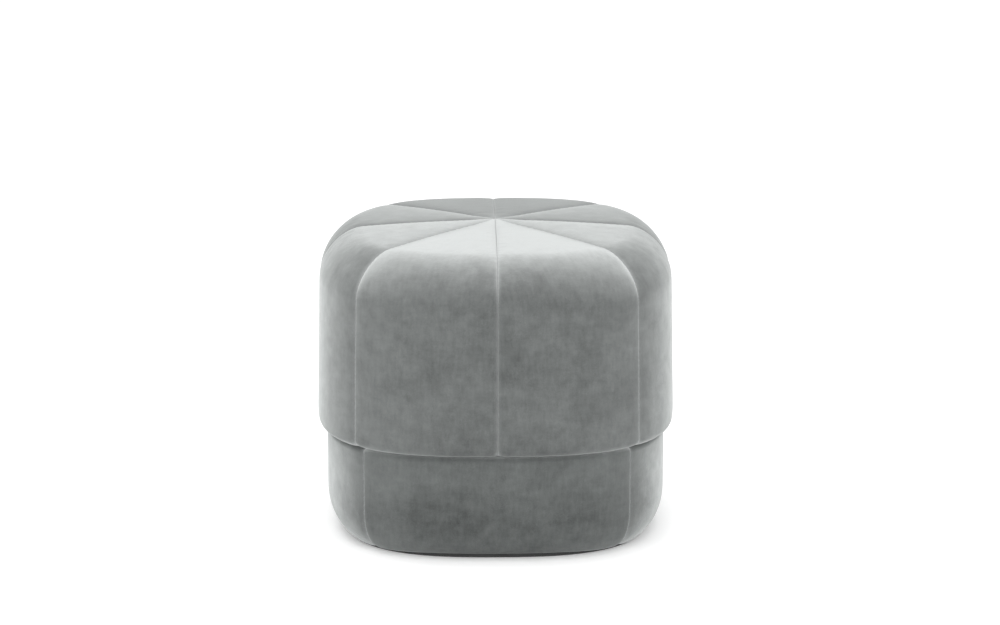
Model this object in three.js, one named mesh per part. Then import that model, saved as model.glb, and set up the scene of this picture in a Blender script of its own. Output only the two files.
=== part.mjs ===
// A low upholstered pouf in velvet, with a soft square plan. A cap of eight padded gores, which meet
// at a point on top and curve over the shoulder, sits on a slightly narrower base of four padded side
// panels. A flat panel closes the underside.
// Millimetres, +Z up, -Y to the front. The origin is on the floor, under the middle.
import * as THREE from 'three';

// Overall sizes
const HEIGHT = 400;
const CAP_HALF_WIDTH = 232;
const BASE_HALF_WIDTH = 220.5;
const CREASE_HEIGHT = 139;

// Each plan is a circle drawn out at its four corners by this share of its mean radius
const CAP_CORNER_SHARE = 0.051;
const BASE_CORNER_SHARE = 0.047;

// The top of the cap falls gently from the point where the gores meet, like a tent
const TOP_SLOPE = 0.012;
const TOP_SAG = 6;

// The cap's shoulder, a quarter of a superellipse, flatter than a circle between its ends
const SHOULDER_WIDTH = 57;
const SHOULDER_DROP = 58;
const SHOULDER_POWER = 1.68;

// The cap's side leans out a little from shoulder to hem, and its hem rolls under to the crease
const SIDE_FLARE = 3.6;
const HEM_ROLL_WIDTH = 17;
const HEM_ROLL_DROP = 11;

// The base's upper edge, tucked under the cap, and its foot, which is rounder at the flat sides
const TUCK_RADIUS = 7;
const FOOT_WIDTH_FLAT = 40;
const FOOT_WIDTH_CORNER = 30;
const FOOT_DROP = 53;

// The underside panel lifts the foot's lower seam off the floor, and lies a little way in under it
const UNDERSIDE_SEAM_HEIGHT = 7;
const UNDERSIDE_INSET = 4;
const UNDERSIDE_EDGE_RADIUS = 2;

// Sewn seams: the padding rolls in to each seam over the lip's width, down to the seam's depth
const SEAM_DEPTH = 2.2;
const SEAM_LIP = 7;
const CLEARANCE = 0.3;

// How far the foot has curved in, as an angle, where it ends at its lower seam
const FOOT_SEAM_TURN = Math.asin(1 - (UNDERSIDE_SEAM_HEIGHT + CLEARANCE) / FOOT_DROP);

const GORES = 8;
const SIDE_PANELS = 4;
const FULL_TURN = 2 * Math.PI;
const QUARTER_TURN = Math.PI / 2;

// Columns of faces across a panel: on each lip, and between the two lips
const LIP_COLUMNS = 3;
const GORE_COLUMNS = 7;
const SIDE_PANEL_COLUMNS = 16;

// Rows of faces down a panel: the top's rows are placed, the others are counted along each stretch
const TOP_ROW_RADII = [8, 24, 60, 100, 140];
const SHOULDER_ROWS = 9;
const SIDE_ROWS = 4;
const HEM_ROWS = 6;
const TUCK_ROWS = 3;
const FOOT_ROWS = 7;
const RIM_ROWS = 4;
const RIM_SEGMENTS = 64;

const CAP_VELVET = new THREE.MeshStandardMaterial({ color: 0x8d908f, roughness: 0.95, metalness: 0 });
const BASE_VELVET = new THREE.MeshStandardMaterial({ color: 0x7f8281, roughness: 0.95, metalness: 0 });
const UNDERSIDE_CLOTH = new THREE.MeshStandardMaterial({ color: 0x4c4e4e, roughness: 1, metalness: 0 });

// Numbers spread evenly from one value to another, both ends included.
function spread(from, to, steps) {
  return Array.from({ length: steps + 1 }, (_, i) => from + ((to - from) * i) / steps);
}

// How far a plan reaches at an angle, as a share of its half width across the flat sides.
function planShare(angle, cornerShare) {
  return (1 - cornerShare * Math.cos(4 * angle)) / (1 - cornerShare);
}

// A value that changes smoothly between the flat sides and the corners.
function betweenFlatAndCorner(atFlat, atCorner, angle) {
  const corner = (1 - Math.cos(4 * angle)) / 2;
  return atFlat + (atCorner - atFlat) * corner;
}

// The cap's section at an angle, from near the middle of the top, over the shoulder and down to the crease.
function capSection(angle) {
  const share = planShare(angle, CAP_CORNER_SHARE);
  const shoulderStart = CAP_HALF_WIDTH - SIDE_FLARE - SHOULDER_WIDTH;
  const topHeight = (r) => HEIGHT - TOP_SLOPE * r - TOP_SAG * (r / shoulderStart) ** 2;
  const shoulderTop = topHeight(shoulderStart);
  const sideTop = shoulderTop - SHOULDER_DROP;
  const rollTop = CREASE_HEIGHT + HEM_ROLL_DROP;
  const points = [];
  for (const r of TOP_ROW_RADII) {
    points.push({ r, z: topHeight(r) });
  }
  for (const turn of spread(0, QUARTER_TURN, SHOULDER_ROWS)) {
    points.push({
      r: shoulderStart + SHOULDER_WIDTH * Math.sin(turn) ** (2 / SHOULDER_POWER),
      z: sideTop + SHOULDER_DROP * Math.cos(turn) ** (2 / SHOULDER_POWER),
    });
  }
  for (const down of spread(0, 1, SIDE_ROWS).slice(1)) {
    points.push({
      r: CAP_HALF_WIDTH - SIDE_FLARE * (1 - down),
      z: sideTop + (rollTop - sideTop) * down,
    });
  }
  for (const turn of spread(0, QUARTER_TURN, HEM_ROWS).slice(1)) {
    points.push({
      r: CAP_HALF_WIDTH - HEM_ROLL_WIDTH * (1 - Math.cos(turn)),
      z: rollTop - HEM_ROLL_DROP * Math.sin(turn),
    });
  }
  return points.map(({ r, z }) => ({ r: r * share, z }));
}

// The base's section at an angle, from its tucked upper edge down the side and round the foot.
function baseSection(angle) {
  const footWidth = betweenFlatAndCorner(FOOT_WIDTH_FLAT, FOOT_WIDTH_CORNER, angle);
  const halfWidth = BASE_HALF_WIDTH * planShare(angle, BASE_CORNER_SHARE);
  const top = CREASE_HEIGHT - CLEARANCE;
  const points = [];
  for (const turn of spread(0, QUARTER_TURN, TUCK_ROWS)) {
    points.push({
      r: halfWidth - TUCK_RADIUS * (1 - Math.sin(turn)),
      z: top - TUCK_RADIUS * (1 - Math.cos(turn)),
    });
  }
  for (const down of spread(0, 1, SIDE_ROWS).slice(1)) {
    points.push({ r: halfWidth, z: top - TUCK_RADIUS + (FOOT_DROP - top + TUCK_RADIUS) * down });
  }
  for (const turn of spread(0, FOOT_SEAM_TURN, FOOT_ROWS).slice(1)) {
    points.push({
      r: halfWidth - footWidth * (1 - Math.cos(turn)),
      z: FOOT_DROP * (1 - Math.sin(turn)),
    });
  }
  return points;
}

// How deep the padding has rolled in at a distance from its seam.
function seamDip(distance, lip) {
  const near = Math.max(0, 1 - distance / lip);
  return SEAM_DEPTH * (1 - Math.sqrt(1 - near * near));
}

// A panel's columns on a row of this radius: close together on the lips beside its two seams, even between.
function panelColumns(from, to, radius, middleColumns) {
  const arc = (to - from) * radius;
  const lip = Math.min(SEAM_LIP, arc / 4);
  const lipDistances = spread(0, 1, LIP_COLUMNS).map((share) => lip * share ** 1.5);
  const middle = spread(lip, arc - lip, middleColumns).slice(1, -1);
  const distances = [...lipDistances, ...middle, ...lipDistances.map((d) => arc - d).reverse()];
  return distances.map((d) => ({ angle: from + d / radius, dip: seamDip(Math.min(d, arc - d), lip) }));
}

// The point of a section's row at an angle, pushed in by the dip at right angles to the section. A row on a
// flat end stays level.
function skinPoint(points, row, angle, dip, level) {
  const before = points[Math.max(row - 1, 0)];
  const after = points[Math.min(row + 1, points.length - 1)];
  const length = Math.hypot(after.r - before.r, after.z - before.z);
  const r = points[row].r + (dip * (after.z - before.z)) / length;
  const z = points[row].z - (level ? 0 : (dip * (after.r - before.r)) / length);
  return new THREE.Vector3(r * Math.sin(angle), -r * Math.cos(angle), z);
}

// A padded panel as one filled solid: a wedge from the middle of the pouf out to its sewn face, between the
// seams at two angles. section(angle) gives that face's rows, and middleTop is the wedge's top on the axis.
function paddedPanel({ section, from, to, middleTop, flatTop, middleColumns }) {
  const firstSection = section(from);
  const lastRow = firstSection.length - 1;
  const rows = firstSection.map(({ r }, row) => {
    const level = row === lastRow || (row === 0 && flatTop);
    const columns = panelColumns(from, to, r, middleColumns);
    return columns.map(({ angle, dip }) => skinPoint(section(angle), row, angle, dip, level));
  });

  // The wedge moves out along its middle, to stand half the clearance back from each seam.
  const middleAngle = (from + to) / 2;
  const shift = CLEARANCE / 2 / Math.sin((to - from) / 2);
  const outwards = new THREE.Vector3(shift * Math.sin(middleAngle), -shift * Math.cos(middleAngle), 0);
  const topOnAxis = new THREE.Vector3(0, 0, middleTop);
  const bottomOnAxis = new THREE.Vector3(0, 0, firstSection[lastRow].z);
  const corners = [topOnAxis, bottomOnAxis, ...rows.flat()].map((corner) => corner.add(outwards));

  const TOP = 0;
  const BOTTOM = 1;
  const lastColumn = rows[0].length - 1;
  const at = (row, column) => 2 + row * (lastColumn + 1) + column;
  const faces = [];
  for (let column = 0; column < lastColumn; column += 1) {
    faces.push([TOP, at(0, column), at(0, column + 1)]);
    faces.push([BOTTOM, at(lastRow, column + 1), at(lastRow, column)]);
    for (let row = 0; row < lastRow; row += 1) {
      faces.push([at(row, column), at(row + 1, column), at(row + 1, column + 1)]);
      faces.push([at(row, column), at(row + 1, column + 1), at(row, column + 1)]);
    }
  }

  // The two flat sides, which lie against the neighbours in the seams
  const startEdge = [TOP, ...rows.map((_, row) => at(row, 0))];
  const endEdge = [TOP, ...rows.map((_, row) => at(row, lastColumn))];
  for (let i = 0; i <= lastRow; i += 1) {
    faces.push([BOTTOM, startEdge[i + 1], startEdge[i]]);
    faces.push([BOTTOM, endEdge[i], endEdge[i + 1]]);
  }

  const geometry = new THREE.BufferGeometry();
  const numbers = corners.flatMap((corner) => corner.toArray());
  geometry.setAttribute('position', new THREE.Float32BufferAttribute(numbers, 3));
  geometry.setIndex(faces.flat());
  geometry.computeVertexNormals();
  return geometry;
}

// How far the foot's lower seam is from the middle at an angle.
function footSeamRadius(angle) {
  const footWidth = betweenFlatAndCorner(FOOT_WIDTH_FLAT, FOOT_WIDTH_CORNER, angle);
  return BASE_HALF_WIDTH * planShare(angle, BASE_CORNER_SHARE) - footWidth * (1 - Math.cos(FOOT_SEAM_TURN));
}

// The underside panel: a flat disc with a small round on its lower edge, drawn out to follow the foot
function undersidePanel() {
  const radius = footSeamRadius(0) - UNDERSIDE_INSET;
  const profile = [
    new THREE.Vector2(0, 0),
    ...spread(0, QUARTER_TURN, RIM_ROWS).map((turn) => new THREE.Vector2(
      radius - UNDERSIDE_EDGE_RADIUS * (1 - Math.sin(turn)),
      UNDERSIDE_EDGE_RADIUS * (1 - Math.cos(turn)),
    )),
    new THREE.Vector2(radius, UNDERSIDE_SEAM_HEIGHT),
    new THREE.Vector2(0, UNDERSIDE_SEAM_HEIGHT),
  ];
  const geometry = new THREE.LatheGeometry(profile, RIM_SEGMENTS);
  geometry.rotateX(QUARTER_TURN);
  const position = geometry.getAttribute('position');
  for (let i = 0; i < position.count; i += 1) {
    const angle = Math.atan2(position.getX(i), -position.getY(i));
    const stretch = (footSeamRadius(angle) - UNDERSIDE_INSET) / radius;
    position.setXY(i, position.getX(i) * stretch, position.getY(i) * stretch);
  }
  geometry.computeVertexNormals();
  return geometry;
}

const pouf = new THREE.Group();
pouf.name = 'pouf';

// The cap: gore 1 is the one to the right of the front seam, and the rest follow round
const cap = new THREE.Group();
for (let i = 0; i < GORES; i += 1) {
  const geometry = paddedPanel({
    section: capSection,
    from: (i * FULL_TURN) / GORES,
    to: ((i + 1) * FULL_TURN) / GORES,
    middleTop: HEIGHT - SEAM_DEPTH,
    flatTop: false,
    middleColumns: GORE_COLUMNS,
  });
  const gore = new THREE.Mesh(geometry, CAP_VELVET);
  gore.name = `cap_gore_${i + 1}`;
  cap.add(gore);
}
pouf.add(cap);

// The base: panel 1 is the front one, with its seams on the front corners
const base = new THREE.Group();
for (let i = 0; i < SIDE_PANELS; i += 1) {
  const geometry = paddedPanel({
    section: baseSection,
    from: ((i - 0.5) * FULL_TURN) / SIDE_PANELS,
    to: ((i + 0.5) * FULL_TURN) / SIDE_PANELS,
    middleTop: CREASE_HEIGHT - CLEARANCE,
    flatTop: true,
    middleColumns: SIDE_PANEL_COLUMNS,
  });
  const panel = new THREE.Mesh(geometry, BASE_VELVET);
  panel.name = `base_panel_${i + 1}`;
  base.add(panel);
}

const underside = new THREE.Mesh(undersidePanel(), UNDERSIDE_CLOTH);
underside.name = 'underside_panel';
base.add(underside);
pouf.add(base);

export default pouf;
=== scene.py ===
import math

import bpy
import numpy as np
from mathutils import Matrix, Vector


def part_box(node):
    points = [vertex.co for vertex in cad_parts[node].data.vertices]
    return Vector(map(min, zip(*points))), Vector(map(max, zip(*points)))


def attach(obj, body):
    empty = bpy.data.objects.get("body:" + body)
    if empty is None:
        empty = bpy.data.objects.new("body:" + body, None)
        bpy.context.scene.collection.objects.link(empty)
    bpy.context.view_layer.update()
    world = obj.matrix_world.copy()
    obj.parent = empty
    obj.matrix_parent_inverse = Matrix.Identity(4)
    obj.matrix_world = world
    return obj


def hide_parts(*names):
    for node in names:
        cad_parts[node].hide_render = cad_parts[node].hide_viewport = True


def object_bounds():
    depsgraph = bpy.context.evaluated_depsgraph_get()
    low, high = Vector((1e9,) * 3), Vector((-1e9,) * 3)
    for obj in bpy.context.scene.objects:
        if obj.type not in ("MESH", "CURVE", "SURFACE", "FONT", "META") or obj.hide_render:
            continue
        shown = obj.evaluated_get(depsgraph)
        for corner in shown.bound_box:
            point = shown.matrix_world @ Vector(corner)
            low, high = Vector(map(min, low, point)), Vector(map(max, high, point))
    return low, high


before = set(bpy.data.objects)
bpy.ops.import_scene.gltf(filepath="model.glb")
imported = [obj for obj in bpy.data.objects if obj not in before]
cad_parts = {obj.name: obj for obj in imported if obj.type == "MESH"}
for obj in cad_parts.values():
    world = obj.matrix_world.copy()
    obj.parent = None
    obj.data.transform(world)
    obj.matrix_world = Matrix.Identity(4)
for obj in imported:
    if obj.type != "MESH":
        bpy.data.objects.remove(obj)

cad_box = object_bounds()

# The camera stands well back in front of the pouf, above its top and a touch to its left. Its
# distance, height and lens come from the seams and outlines of the photograph.
camera_distance = 4.311
camera_height = 1.315
camera_aside = 0.0063
camera_dip = math.radians(13.58)
camera_turn = math.radians(0.9)
lens_mm = 121.6
sensor_mm = 36

camera = bpy.data.objects.new("camera", bpy.data.cameras.new("camera"))
bpy.context.collection.objects.link(camera)
camera.data.sensor_width = sensor_mm
camera.data.lens = lens_mm
camera.location = (
    camera_aside * math.cos(camera_turn) - camera_distance * math.sin(camera_turn),
    -camera_aside * math.sin(camera_turn) - camera_distance * math.cos(camera_turn),
    camera_height,
)
camera.rotation_euler = (math.pi / 2 - camera_dip, 0, -camera_turn)
bpy.context.scene.camera = camera

# The studio: a plain white floor under an even white tent of light, with one wide soft lamp above
# and one low in front. The velvet's shading then comes from its pile and not from hard light.
floor_width = 24
floor_finish = {
    "Base Color": (0.93, 0.93, 0.93, 1),
    "Roughness": 0.9,
    "Specular IOR Level": 0.1,
    "Emission Color": (1, 1, 1, 1),
    "Emission Strength": 0.16,
}
tent_light = {"Color": (1, 1, 1, 1), "Strength": 0.93}


def set_sockets(node, values):
    """Sets sockets that are the same all over a surface."""
    for name, value in values.items():
        node.inputs[name].default_value = value


bpy.ops.object.select_all(action="DESELECT")
bpy.ops.mesh.primitive_plane_add(size=floor_width, location=(0, 0, 0))
floor = bpy.context.object
floor.name = "floor"
floor_paint = bpy.data.materials.new("floor_paint")
floor_paint.use_nodes = True
set_sockets(floor_paint.node_tree.nodes["Principled BSDF"], floor_finish)
floor.data.materials.append(floor_paint)

tent = bpy.data.worlds.new("tent")
bpy.context.scene.world = tent
tent.use_nodes = True
set_sockets(tent.node_tree.nodes["Background"], tent_light)


def soft_lamp(name, size, power, place, aimed_at):
    bpy.ops.object.light_add(type="AREA", location=place)
    lamp = bpy.context.object
    lamp.name = name
    lamp.data.size = size
    lamp.data.energy = power
    towards = Vector(aimed_at) - Vector(place)
    lamp.rotation_euler = towards.to_track_quat("-Z", "Y").to_euler()


soft_lamp("lamp_above", size=3.0, power=58, place=(-0.2, 0.4, 2.9), aimed_at=(0, 0, 0.3))
soft_lamp("lamp_before", size=2.4, power=34, place=(0, -3.4, 0.75), aimed_at=(0, 0, 0.2))
bpy.context.scene.view_settings.view_transform = "Standard"

# The cap: eight gores of grey velvet, cut to meet at a point on top, sewn edge to edge and pulled
# down tight over the padding. Each curves over the shoulder, hangs down the side and turns under at
# the hem.
gore_count = 8
cap_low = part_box("cap_gore_1")[0]
cap_half_width = -cap_low[1]
crease_height = cap_low[2]
pouf_height = cad_box[1][2]

# The cap's plan is a circle drawn out at its four corners. Its section has a gently falling top, a
# shoulder that is a quarter of a superellipse, a side that leans out a little, and a rolled hem.
cap_corner_share = 0.051
point_radius = 0.0015
top_slope = 0.012
top_sag = 0.006
shoulder_width = 0.057
shoulder_drop = 0.058
shoulder_power = 1.68
shoulder_ease = 0.0035
side_flare = 0.0036
hem_roll_width = 0.017
hem_roll_drop = 0.011
straight_points = 60
bend_points = 120

# Sewing: the padding rolls in to each seam, a hair's gap is left between neighbouring panels, and
# the thread pulls the cloth in a little at each stitch. Towards the top's point the seams fade out,
# and where the cloth lies level they roll in less.
shown_step = 0.003
seam_depth = 0.0007
seam_lip = 0.0022
seam_gap = 0.0003
lip_columns = 7
lip_crowding = 1.4
crown = 0.0016
crown_reach = 0.0065
stitch_pull = 0.00018
stitch_pitch = 0.0085
stitch_reach = 0.006
stitch_drift = 40
stitch_drift_width = 0.02
point_fade = 0.03
level_roll_loss = 0.65
level_lie_loss = 0.6

# The pile's lean, as slopes
top_lean = 0.26
side_lean = 0.06
shoulder_lean = 0.6
foot_lean = 1.0
corner_hold = 0.6
foot_hold = 0.9
corner_lean = 0.38

# A painted highlight along each seam, standing in for the light the pile catches where it opens at
# the fold; wider where the cloth is bent
highlight_reach = 0.0009
bent_highlight_reach = 0.0018
highlight_strength = 0.7
bent_highlight_gain = 0.4

# The filling: a coarse cloth is sewn down along its rim and pressed out from behind. What it gives
# is how unevenly the cloth lies; its broad swelling is already in the section.
filled_step = 0.0065
filled_frames = 20
filling_pressure = 12
spare_cloth = -0.006
first_rough_height = 0.0006
first_rough_width = 0.012
broad_swelling = 0.03
uneven_share = 0.3
most_uneven = 0.0009

# Closing a panel behind: what lies this little above its lowest point is closed level with it
level_reach = 0.006
weld_distance = 0.000001
panel_smooth_angle = 50


def even(start, end, step):
    """Numbers from start to end, both included, about a step apart."""
    return np.linspace(start, end, max(2, round(abs(end - start) / step) + 1))


def cornered(angle):
    """How near an angle is to the pouf's corners: 0 at the middle of a flat side, 1 at a corner."""
    return (1 - np.cos(4 * angle)) / 2


class Section:
    """A panel's section, from its top to its lower seam, as radii and heights at the pouf's flat
    sides and at its corners. It is read by the length along its line at the flat sides."""

    def __init__(self, flat_radii, flat_heights, corner_radii, corner_heights):
        self.flat_radii = np.concatenate(flat_radii)
        self.flat_heights = np.concatenate(flat_heights)
        self.corner_radii = np.concatenate(corner_radii)
        self.corner_heights = np.concatenate(corner_heights)
        steps = np.hypot(np.diff(self.flat_radii), np.diff(self.flat_heights))
        self.lengths = np.concatenate([[0], np.cumsum(steps)])
        self.length = self.lengths[-1]

    def ease(self, width, step=0.001):
        """Blurs the section's line over a width, with its two ends left in place."""
        places = even(0, self.length, step)
        reach = len(places) // 4
        kernel = np.exp(-0.5 * ((np.arange(-reach, reach + 1) * step) / width) ** 2)
        kernel /= kernel.sum()
        for name in ("flat_radii", "flat_heights", "corner_radii", "corner_heights"):
            line = np.interp(places, self.lengths, getattr(self, name))
            before = 2 * line[0] - line[reach:0:-1]
            after = 2 * line[-1] - line[-2:-reach - 2:-1]
            eased = np.convolve(np.concatenate([before, line, after]), kernel, "valid")
            setattr(self, name, eased)
        self.lengths = places

    def radius(self, length, angle):
        flat = np.interp(length, self.lengths, self.flat_radii)
        corner = np.interp(length, self.lengths, self.corner_radii)
        return flat + (corner - flat) * cornered(angle)

    def point(self, length, angle):
        radius = self.radius(length, angle)
        flat = np.interp(length, self.lengths, self.flat_heights)
        corner = np.interp(length, self.lengths, self.corner_heights)
        height = flat + (corner - flat) * cornered(angle) ** 3
        return np.stack([radius * np.sin(angle), -radius * np.cos(angle), height], -1)


def cap_section():
    start = cap_half_width - side_flare - shoulder_width
    top = np.linspace(point_radius, start, straight_points)
    top_height = pouf_height - top_slope * top - top_sag * (top / start) ** 2
    turn = np.linspace(0, math.pi / 2, bend_points)[1:]
    side_top = top_height[-1] - shoulder_drop
    shoulder = start + shoulder_width * np.sin(turn) ** (2 / shoulder_power)
    shoulder_height = side_top + shoulder_drop * np.abs(np.cos(turn)) ** (2 / shoulder_power)
    down = np.linspace(0, 1, straight_points)[1:]
    roll_top = crease_height + hem_roll_drop
    side = cap_half_width - side_flare * (1 - down)
    side_height = side_top + (roll_top - side_top) * down
    roll = cap_half_width - hem_roll_width * (1 - np.cos(turn))
    roll_height = roll_top - hem_roll_drop * np.sin(turn)
    flat = [top, shoulder, side, roll]
    corner = [part * (1 + cap_corner_share) / (1 - cap_corner_share) for part in flat]
    heights = [top_height, shoulder_height, side_height, roll_height]
    section = Section(flat, heights, corner, heights)
    section.ease(shoulder_ease)
    return section


def skin(section, from_angle, to_angle, rows, columns):
    """Points of a panel's bare skin and the ways they face. rows are lengths down the section, and
    columns are places across the panel, from 0 at its first seam to 1 at its second."""
    nudge = 0.0006
    angle = from_angle + (to_angle - from_angle) * columns
    lower = section.point(np.minimum(rows + nudge, section.length), angle)
    upper = section.point(np.maximum(rows - nudge, 0), angle)
    around = section.point(rows, angle + nudge) - section.point(rows, angle - nudge)
    facing = np.cross(lower - upper, around)
    return section.point(rows, angle), facing / np.linalg.norm(facing, axis=-1, keepdims=True)


def lay_cloth(name, points):
    """A grid of cloth with its points laid in place. The grid counts its rows upwards, so the
    points' last row comes first."""
    rows, columns = points.shape[:2]
    bpy.ops.object.select_all(action="DESELECT")
    bpy.ops.mesh.primitive_grid_add(x_subdivisions=columns - 1, y_subdivisions=rows - 1, size=1)
    cloth = bpy.context.object
    cloth.name = name
    cloth.data.vertices.foreach_set("co", points[::-1].reshape(-1))
    cloth.data.update()
    return cloth


def soften(field, row_step, column_step, width):
    """A field on a grid, blurred over a width."""
    for axis, step in ((0, row_step), (1, column_step)):
        place = np.arange(field.shape[axis]) * step
        weight = np.exp(-0.5 * ((place[:, None] - place[None, :]) / width) ** 2)
        weight /= weight.sum(1, keepdims=True)
        field = np.moveaxis(np.tensordot(weight, field, (1, axis)), 0, axis)
    return field


def filled_unevenness(name, section, from_angle, to_angle, seed):
    """Fills one panel as a cloth simulation and gives how unevenly it swells, on a coarse grid."""
    widest = (to_angle - from_angle) * section.flat_radii.max()
    row_places = even(0, section.length, filled_step)
    column_places = even(0, 1, filled_step / widest)
    rows, columns = np.meshgrid(row_places, column_places, indexing="ij")
    points, facing = skin(section, from_angle, to_angle, rows, columns)
    rough = np.random.default_rng(seed).normal(0, 1, rows.shape)
    rough = soften(rough, filled_step, filled_step, first_rough_width) * first_rough_height
    cloth = lay_cloth(name + "_filling", points + facing * rough[..., None])
    held = cloth.vertex_groups.new(name="sewn_rim")
    inside = (columns > 0) & (columns < 1) & (rows > 0) & (rows < section.length)
    held.add([int(i) for i in np.flatnonzero(~inside[::-1].reshape(-1))], 1, "REPLACE")
    filling = cloth.modifiers.new("filling", "CLOTH")
    filling.settings.quality = 6
    filling.settings.vertex_group_mass = "sewn_rim"
    filling.settings.use_pressure = True
    filling.settings.uniform_pressure_force = filling_pressure
    filling.settings.shrink_min = spare_cloth
    filling.settings.effector_weights.gravity = 0
    filling.collision_settings.use_self_collision = False
    for number in range(1, filled_frames + 1):
        bpy.context.scene.frame_set(number)
    bpy.ops.object.modifier_apply(modifier="filling")
    settled = np.empty(points.size)
    cloth.data.vertices.foreach_get("co", settled)
    bpy.data.objects.remove(cloth)
    bpy.context.scene.frame_set(1)
    swell = ((settled.reshape(points.shape)[::-1] - points) * facing).sum(-1)
    uneven = (swell - soften(swell, filled_step, filled_step, broad_swelling)) * uneven_share
    return most_uneven * np.tanh(uneven / most_uneven)


def read_smoothly(field, rows, columns):
    """Reads a coarse grid's field at places from 0 to 1 down and across it, along smooth curves."""
    total = 0
    down = rows * (field.shape[0] - 1)
    across = columns * (field.shape[1] - 1)
    top = np.clip(np.floor(down).astype(int), 0, field.shape[0] - 2)
    left = np.clip(np.floor(across).astype(int), 0, field.shape[1] - 2)

    def weights(t):
        """Twice what each of four neighbours gives to a place between the middle two."""
        return (-t + 2 * t**2 - t**3, 2 - 5 * t**2 + 3 * t**3, t + 4 * t**2 - 3 * t**3, t**3 - t**2)

    for i, down_weight in enumerate(weights(down - top)):
        for j, across_weight in enumerate(weights(across - left)):
            row = np.clip(top + i - 1, 0, field.shape[0] - 1)
            column = np.clip(left + j - 1, 0, field.shape[1] - 1)
            total = total + field[row, column] * down_weight * across_weight / 4
    return total


def pile_lean(facing, across, angle, ridge):
    """How far and which way the pile turns the look of the cloth from the way its surface faces.
    It is combed up towards the top of the pouf, stands more open over the shoulder and round the
    foot, where the cloth is bent, and lies closer on the corners, where it is pulled tight. A ridge
    is a slight peak at the corner seams."""
    upward = facing[..., 2]
    sideward = 1 - upward**2
    bent = np.abs(upward) * np.sqrt(sideward)
    corner = cornered(angle)
    around = np.stack([np.cos(angle), np.sin(angle), 0 * angle], -1)
    across = across + (around - across) * (sideward * (1 - corner))[..., None]
    down = np.cross(across, facing)
    down /= np.linalg.norm(down, axis=-1, keepdims=True)
    over_shoulder = shoulder_lean * bent * (upward > 0) * (1 - corner * corner_hold)
    round_foot = foot_lean * bent * (upward < 0) * (1 - corner * foot_hold)
    lean = top_lean + side_lean * sideward + over_shoulder + round_foot
    to_corner = np.sign(np.sin(4 * angle))
    aside = corner * to_corner * (corner_lean * bent * (upward > 0) - ridge * sideward**2)
    return aside[..., None] * across - lean[..., None] * down


def with_rim(values):
    """Gives a grid of values one more all round, the same as the value next to it."""
    return np.pad(values, [(1, 1), (1, 1)] + [(0, 0)] * (values.ndim - 2), "edge")


def close_behind(points, middle):
    """Gives a panel's grid a rim of points on a line up the pouf's middle. Both of its seams meet
    the line at the same heights, so it closes without a gap."""
    highest, lowest = points[0, :, 2].max(), points[..., 2].min()
    heights = (points[:, 0, 2] + points[:, -1, 2]) / 2
    heights = np.where(heights < lowest + level_reach, lowest, heights)
    heights = np.concatenate([[highest], heights, [lowest]])
    line = np.stack([0 * heights + middle[0], 0 * heights + middle[1], heights], -1)
    closed = with_rim(points)
    closed[:, 0] = closed[:, -1] = line
    closed[0] = line[0]
    closed[-1] = line[-1]
    return closed


def mark_points(piece, name, kind, values):
    """Keeps a number or a vector for each point of a piece's grid, for its material to read."""
    held = piece.data.attributes.new(name, kind, "POINT")
    key = "vector" if kind == "FLOAT_VECTOR" else "value"
    held.data.foreach_set(key, np.ascontiguousarray(with_rim(values)[::-1]).reshape(-1))


def weld_and_smooth(piece, smooth_angle):
    """Merges doubled points, turns every face outwards and smooths all but the sharp edges."""
    bpy.ops.object.mode_set(mode="EDIT")
    bpy.ops.mesh.select_all(action="SELECT")
    bpy.ops.mesh.remove_doubles(threshold=weld_distance)
    bpy.ops.mesh.normals_make_consistent(inside=False)
    bpy.ops.object.mode_set(mode="OBJECT")
    bpy.ops.object.shade_smooth_by_angle(angle=math.radians(smooth_angle))


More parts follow.
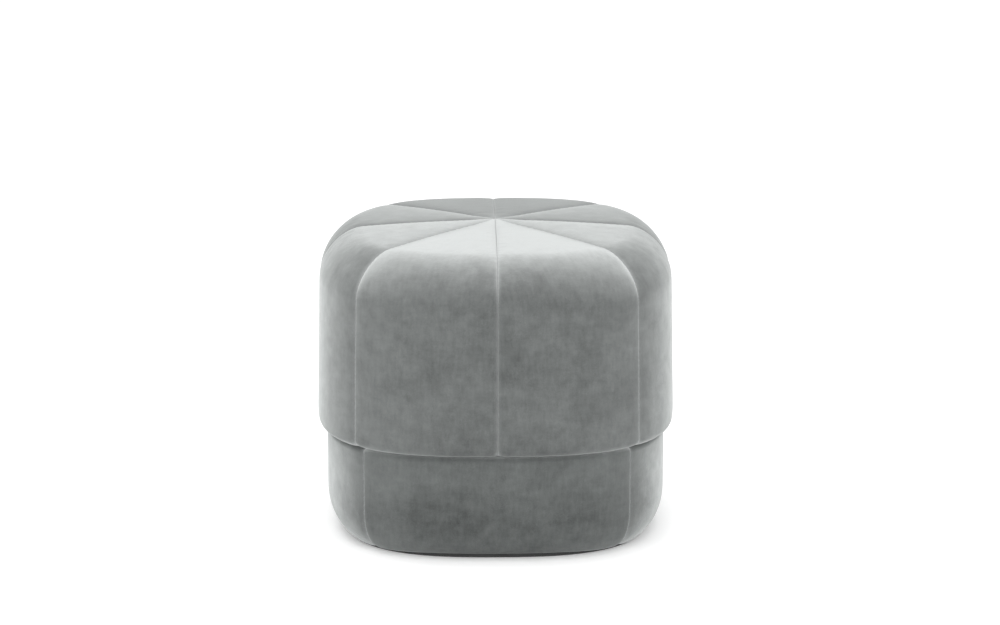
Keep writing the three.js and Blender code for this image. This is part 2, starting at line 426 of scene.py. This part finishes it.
def sew_panel(name, section, from_angle, to_angle, ridge, painted_shading, seed):
    """One velvet panel of the pouf with its filling, closed behind on the pouf's middle line. Its
    sixth argument is painted light and shade: how much lighter the velvet's colour is painted, at
    four places down the panel and at the corners."""
    row_places = even(0, section.length, shown_step)
    middle_angle = (from_angle + to_angle) / 2
    arc = (to_angle - from_angle) * section.radius(row_places, middle_angle)[:, None]
    lip = np.minimum(seam_lip, arc / 5)
    lip_places = np.linspace(0, 1, lip_columns + 1) ** lip_crowding
    middle_places = even(0, 1, shown_step / arc.max())[1:-1]
    first = lip * lip_places
    middle = lip + (arc - 2 * lip) * middle_places
    distance = np.concatenate([first, middle, arc - first[:, ::-1]], 1)
    columns = distance / arc
    rows = np.broadcast_to(row_places[:, None], columns.shape)
    points, facing = skin(section, from_angle, to_angle, rows, columns)

    # The seams: rolled lips, the crown that the filling gives between them, and the stitches' pull
    from_seam = np.minimum(distance, arc - distance)
    near = np.clip(1 - from_seam / lip, 0, 1)
    fading = np.clip(arc / point_fade, 0, 1)
    level = facing[..., 2] ** 2
    rolled = -seam_depth * (1 - np.sqrt(1 - near**2)) * fading * (1 - level_roll_loss * level)
    crowned = -crown * np.exp(-from_seam / crown_reach) * fading
    random = np.random.default_rng(seed)
    drift = random.normal(0, 1, rows.shape)
    drift = soften(drift, shown_step, shown_step, stitch_drift_width) * stitch_drift
    pulled = np.cos(2 * math.pi * rows / stitch_pitch + drift) * np.exp(-from_seam / stitch_reach)
    uneven = filled_unevenness(name, section, from_angle, to_angle, seed)
    lies = read_smoothly(uneven, rows / section.length, columns)
    offset = rolled + crowned + stitch_pull * pulled * fading + lies * (1 - level_lie_loss * level)
    points = points + facing * offset[..., None]

    # Set back from both seams by half the gap
    shift = seam_gap / 2 / math.sin((to_angle - from_angle) / 2)
    aside = np.array([math.sin(middle_angle), -math.cos(middle_angle), 0]) * shift
    panel = lay_cloth(name, close_behind(points + aside, aside))

    # The cloth's own lengths, across and down, for the streaks in its pile
    cloth_map = panel.data.uv_layers.active
    cloth_map.name = "cloth"
    lengths = with_rim(np.stack([distance - arc / 2, -rows], -1))[::-1].reshape(-1, 2)
    corners = np.empty(len(panel.data.loops), dtype=int)
    panel.data.loops.foreach_get("vertex_index", corners)
    cloth_map.data.foreach_set("uv", lengths[corners].reshape(-1))

    # The pile's lean, the painted highlight along the seams, and painted light and shade down the
    # panel and at the corners
    across = np.array([math.cos(middle_angle), math.sin(middle_angle), 0])
    angle = from_angle + (to_angle - from_angle) * columns
    mark_points(panel, "pile", "FLOAT_VECTOR", pile_lean(facing, across, angle, ridge))
    folded = 4 * level * (1 - level)
    reach = highlight_reach + (bent_highlight_reach - highlight_reach) * folded
    line = np.exp(-from_seam / reach) * (highlight_strength + bent_highlight_gain * folded)
    mark_points(panel, "seam_highlight", "FLOAT", line)
    painted_shading_down = np.interp(rows / section.length, (0, 0.3, 0.65, 1), painted_shading[:4])
    mark_points(panel, "painted_shading", "FLOAT", painted_shading_down + painted_shading[4] * cornered(angle))

    weld_and_smooth(panel, panel_smooth_angle)
    return panel


class Socket:
    """A value on its way through a material. Arithmetic on it adds Math nodes, and node() adds any
    other node."""

    def __init__(self, tree, socket=None):
        self.tree = tree
        self.socket = socket

    def node(self, kind, settings=None, inputs=None, output=0):
        made = self.tree.nodes.new("ShaderNode" + kind)
        for name, value in (settings or {}).items():
            setattr(made, name, value)
        for name, value in (inputs or {}).items():
            if isinstance(value, Socket):
                self.tree.links.new(value.socket, made.inputs[name])
            else:
                made.inputs[name].default_value = value
        return Socket(self.tree, made.outputs[output])

    def math(self, operation, first, second=0.0):
        return self.node("Math", {"operation": operation}, {0: first, 1: second})

    def __add__(self, other):
        return self.math("ADD", self, other)

    def __sub__(self, other):
        return self.math("SUBTRACT", self, other)

    def __rsub__(self, other):
        return self.math("SUBTRACT", other, self)

    def __mul__(self, other):
        return self.math("MULTIPLY", self, other)

    def __pow__(self, other):
        return self.math("POWER", self, other)

    __radd__ = __add__
    __rmul__ = __mul__

    def vector(self, operation, first, second=(0, 0, 0)):
        return self.node("VectorMath", {"operation": operation}, {0: first, 1: second})

    def scaled(self, factor):
        return self.node("VectorMath", {"operation": "SCALE"}, {0: self, "Scale": factor})

    def noise(self, where, scale, detail=2.0, roughness=0.5):
        """Soft noise about zero."""
        inputs = {"Vector": where, "Scale": scale, "Detail": detail, "Roughness": roughness}
        return self.node("TexNoise", {}, inputs) - 0.5

    def mixed(self, factor, first, second):
        """One colour going over into another."""
        inputs = {"Factor": factor, 6: first, 7: second}
        return self.node("Mix", {"data_type": "RGBA"}, inputs, output=2)


def shaded(shade, strength):
    """A shade made lighter or darker, as a colour for a socket."""
    return (*(min(1, channel * strength) for channel in shade), 1)


# Painted highlight: the pale grey that the colour goes over into along the seams
seam_highlight_shade = (0.36, 0.37, 0.37)
# Painted sheen: the pale grey that the colour goes over into where the eye glances along the pile
# or the cloth
painted_sheen_shade = (0.33, 0.34, 0.34)
painted_sheen_power = 8
painted_sheen_on_surface = 0.97
velvet_finish = {
    "Roughness": 0.95,
    "Specular IOR Level": 0.08,
    "Sheen Weight": 1.0,
    "Sheen Roughness": 0.5,
    "Sheen Tint": (0.97, 1, 0.99, 1),
}


def velvet(name, shade):
    """Short-pile velvet. Its pile leans towards the top of the pouf, which lightens the cloth where
    it is seen along its surface and leaves it dark where it is seen straight on. A painted sheen in
    its colour adds to that lightening, and painted light and shade and a painted highlight along
    the seams lie in its colour too."""
    material = bpy.data.materials.new(name)
    material.use_nodes = True
    tree = material.node_tree
    start = Socket(tree)
    shader = tree.nodes["Principled BSDF"]
    place = start.node("TexCoord", output="Object")
    laid = start.node("UVMap", {"uv_map": "cloth"})
    facing = start.node("NewGeometry", output="Normal")
    pile = start.node("Attribute", {"attribute_name": "pile"}, output="Vector")
    seam_highlight = start.node("Attribute", {"attribute_name": "seam_highlight"}, output="Fac")
    painted_shading = start.node("Attribute", {"attribute_name": "painted_shading"}, output="Fac")

    # Where hands have brushed the pile: broad patches, streaks both ways, and the tips' speckle
    broad = start.noise(place, scale=16)
    patches = start.noise(place, scale=60, detail=3, roughness=0.6)
    down_streaks = start.noise(start.vector("MULTIPLY", laid, (230, 55, 1)), scale=1, detail=3)
    across_streaks = start.noise(start.vector("MULTIPLY", laid, (45, 170, 1)), scale=1, detail=3)
    tips = start.noise(place, scale=1100, detail=1)
    brushed = broad * 0.8 + patches * 0.85 + down_streaks * 0.45 + across_streaks * 0.25
    elsewhere = start.vector("ADD", place, (0.7, 0.4, 0.9))
    strokes = start.noise(elsewhere, scale=48, detail=3, roughness=0.6)

    # The pile's lean, as a turn of the surface's own normal. Where it has been brushed it lies
    # flatter or more open, and to one side or the other.
    swirl = start.vector("CROSS_PRODUCT", pile, facing)
    lean = start.vector("ADD", pile.scaled(brushed * 0.35 + 1), swirl.scaled(strokes * 0.6))
    leant = start.vector("NORMALIZE", start.vector("ADD", facing, lean))

    # The colour: dark between the hairs and light on their tips, with painted light and shade down
    # the panels and at the corners, a painted highlight along the seams, and a painted sheen that
    # is lightest where the eye glances along the pile or along the cloth
    tone = brushed * 0.8 + tips * 0.5 + painted_shading + 0.5
    mottle_and_painted_shading = start.mixed(tone, shaded(shade, 0.45), shaded(shade, 1.6))
    seam_highlighted = start.mixed(seam_highlight * (tips + 0.8), mottle_and_painted_shading, shaded(seam_highlight_shade, 1))
    # Painted sheen: the colour is lightened by how nearly the eye looks along the leaned pile or
    # along the cloth
    along_pile = start.node("LayerWeight", {}, {"Blend": 0.5, "Normal": leant}, output=1)
    along_cloth = start.node("LayerWeight", {}, {"Blend": 0.5}, output=1)
    painted_sheen = start.math("MAXIMUM", along_pile, along_cloth * painted_sheen_on_surface)
    colour = start.mixed(painted_sheen**painted_sheen_power, seam_highlighted, shaded(painted_sheen_shade, 1))
    tree.links.new(colour.socket, shader.inputs["Base Color"])

    nap = start.noise(place, scale=420)
    relief = {"Height": tips * 0.6 + nap * 0.5 + patches * 1.2, "Normal": leant}
    bump = start.node("Bump", {}, {**relief, "Distance": 0.0004, "Strength": 0.35})
    tree.links.new(bump.socket, shader.inputs["Normal"])
    set_sockets(shader, velvet_finish)
    return material


cap_ridge = 0.05
# Painted light: the cap's velvet is painted lighter towards its corners
cap_painted_shading = (0, 0, 0, 0, 0.12)
cap_shade = (0.108, 0.114, 0.112)
cap_velvet = velvet("cap_velvet", cap_shade)
cap_pattern = cap_section()
for i in range(gore_count):
    node = f"cap_gore_{i + 1}"
    turn = 2 * math.pi / gore_count
    name = f"velvet_gore_{i + 1}"
    start, end = i * turn, (i + 1) * turn
    gore = sew_panel(name, cap_pattern, start, end, cap_ridge, cap_painted_shading, seed=10 + i)
    gore.data.materials.append(cap_velvet)
    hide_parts(node)
    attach(gore, "root")

# The base: four side panels of the same velvet, sewn on the soft corners. They tuck up under the
# cap's hem, stand straight, and curve in round the foot to the seam with the underside.
panel_count = 4
base_low, base_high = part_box("base_panel_1")
base_half_width = -base_low[1]
base_corner_share = 0.047
base_corner_half_width = base_half_width * (1 + base_corner_share) / (1 - base_corner_share)
tuck_radius = 0.007
foot_width_flat = 0.036
foot_width_corner = 0.030
foot_drop = 0.053
foot_seam_flat = 0.0062
foot_seam_corner = 0.0022
tuck_points = 12
side_points = 40
foot_points = 60


def foot_turn(seam_height):
    """How far the foot has curved in, as an angle, where its lower seam lies at a height."""
    return math.asin(1 - seam_height / foot_drop)


def base_section():
    top = base_high[2]
    tuck = np.linspace(0, math.pi / 2, tuck_points)
    tuck_inset = tuck_radius * (1 - np.sin(tuck))
    tuck_height = top - tuck_radius * (1 - np.cos(tuck))
    side_height = np.linspace(top - tuck_radius, foot_drop, side_points)[1:]
    side_inset = np.zeros(side_height.shape)

    def lines(half_width, foot_width, seam_height):
        turn = np.linspace(0, foot_turn(seam_height), foot_points)[1:]
        insets = (tuck_inset, side_inset, foot_width * (1 - np.cos(turn)))
        heights = [tuck_height, side_height, foot_drop * (1 - np.sin(turn))]
        return [half_width - inset for inset in insets], heights

    flat = lines(base_half_width, foot_width_flat, foot_seam_flat)
    corner = lines(base_corner_half_width, foot_width_corner, foot_seam_corner)
    return Section(*flat, *corner)


base_ridge = 0.18
# Painted light and shade: the base's velvet is painted lighter just under the cap's hem and towards
# its corners, and darker where it begins to curve in round the foot
base_painted_shading = (0.18, 0.04, -0.24, 0.0, 0.18)
# Painted shade: the base's velvet is the cap's velvet painted about an eighth darker
base_colour_and_painted_shade = (0.094, 0.100, 0.098)
base_velvet = velvet("base_velvet", base_colour_and_painted_shade)
base_pattern = base_section()
for i in range(panel_count):
    node = f"base_panel_{i + 1}"
    turn = 2 * math.pi / panel_count
    name = f"velvet_side_{i + 1}"
    start, end = (i - 0.5) * turn, (i + 0.5) * turn
    side = sew_panel(name, base_pattern, start, end, base_ridge, base_painted_shading, seed=30 + i)
    side.data.materials.append(base_velvet)
    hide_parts(node)
    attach(side, "root")

# The underside: one round-cornered panel of dark woven cloth, sewn in at the foot and pulled flat.
# It turns up a few millimetres round its edge, where it is only just seen above the floor; there
# its dark colour is partly the cloth's own and partly painted shadow, standing in for the shade
# where the foot meets the floor.
underside_inset = 0.003
underside_round = 0.002
underside_columns = 256
edge_points = 6
inward_points = 24
underside_smooth_angle = 40
thread_pitch = 0.0016
# Partly the cloth's own dark colour, partly painted shadow along the foot's contact with the floor
underside_shade_and_painted_shadow = (0.04, 0.041, 0.041)
cloth_finish = {"Roughness": 0.9, "Specular IOR Level": 0.2, "Sheen Weight": 0.2}


def underside_section():
    middle_height = foot_seam_corner - seam_gap
    turn = np.linspace(math.pi / 2, 0, edge_points)
    edge = np.concatenate([[0], underside_round * (1 - np.sin(turn))])
    rounded = np.concatenate([[1], underside_round / foot_seam_flat * (1 - np.cos(turn))])
    inwards = np.linspace(1, 0, inward_points)[1:]

    def lines(half_width, foot_width, seam_height):
        foot_inset = foot_width * (1 - math.cos(foot_turn(seam_height)))
        reach = half_width - foot_inset - underside_inset
        top = seam_height - seam_gap
        rise = (top - middle_height) * inwards[::-1] + middle_height
        radii = [reach * inwards[::-1], reach - edge, (reach - underside_round) * inwards]
        return radii, [rise, rounded * top, inwards * 0]

    flat = lines(base_half_width, foot_width_flat, foot_seam_flat)
    corner = lines(base_corner_half_width, foot_width_corner, foot_seam_corner)
    return Section(*flat, *corner)


def woven_cloth(name, shade):
    """Plain woven cloth: threads over and under each other, with a dull fibre surface."""
    material = bpy.data.materials.new(name)
    material.use_nodes = True
    tree = material.node_tree
    start = Socket(tree)
    shader = tree.nodes["Principled BSDF"]
    place = start.node("TexCoord", output="Object")
    along = start.node("SeparateXYZ", {}, {0: place}, output=0)
    athwart = start.node("SeparateXYZ", {}, {0: place}, output=1)
    threads = 2 * math.pi / thread_pitch
    over = start.math("SINE", along * threads) * start.math("SINE", athwart * threads)
    fuzz = start.noise(place, scale=900)
    tone = over * 0.25 + fuzz * 0.8 + start.noise(place, scale=30) * 0.6 + 0.5
    colour = start.mixed(tone, shaded(shade, 0.6), shaded(shade, 1.5))
    tree.links.new(colour.socket, shader.inputs["Base Color"])
    relief = {"Height": over * 0.5 + fuzz * 0.3, "Distance": 0.0004, "Strength": 0.5}
    bump = start.node("Bump", {}, relief)
    tree.links.new(bump.socket, shader.inputs["Normal"])
    set_sockets(shader, cloth_finish)
    return material


pattern = underside_section()
angles = np.linspace(0, 2 * math.pi, underside_columns + 1)
lengths, angles = np.meshgrid(pattern.lengths, angles, indexing="ij")
underside = lay_cloth("woven_underside", pattern.point(lengths, angles))
weld_and_smooth(underside, underside_smooth_angle)
underside.data.materials.append(woven_cloth("underside_cloth", underside_shade_and_painted_shadow))
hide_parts("underside_panel")
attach(underside, "root")
